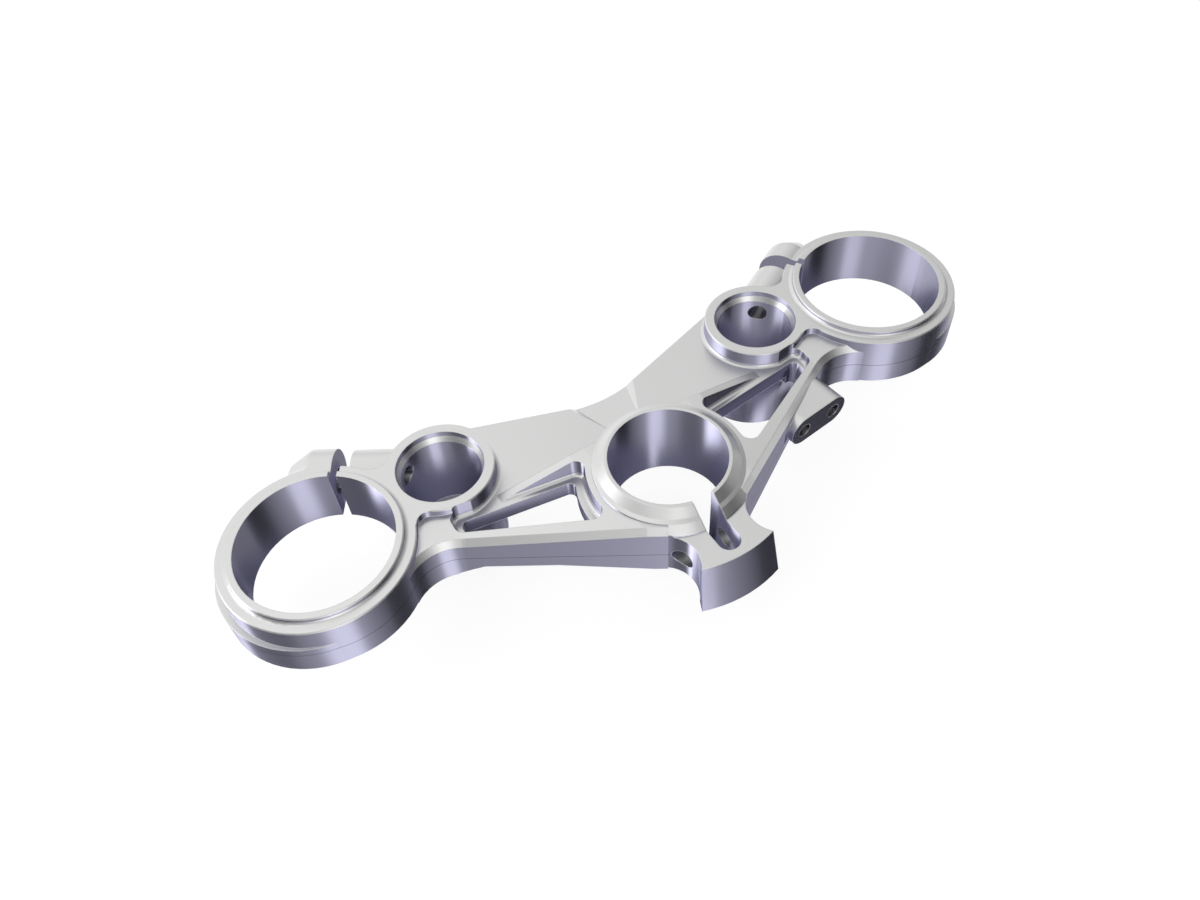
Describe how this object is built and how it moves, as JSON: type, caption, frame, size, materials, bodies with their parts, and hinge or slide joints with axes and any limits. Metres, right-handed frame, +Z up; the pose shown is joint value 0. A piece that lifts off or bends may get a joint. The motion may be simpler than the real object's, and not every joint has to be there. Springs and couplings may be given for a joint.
{
  "type": "motorcycle triple clamp",
  "caption": "Bare machined aluminium upper triple clamp with split fork rings, a slotted stem clamp, two handlebar sockets and a side lug.",
  "frame": {"origin": "on the steering axis, level with the faces of the fork rings", "axes": "+Z up along the steering axis, +Y forward towards the fork legs, +X to the rider's right"},
  "size_m": [0.2818, 0.1169, 0.0414],
  "materials": {
    "aluminium": "machined satin"
  },
  "bodies": {
    "root": {"triple_clamp": "aluminium"}
  },
  "joints": []
}
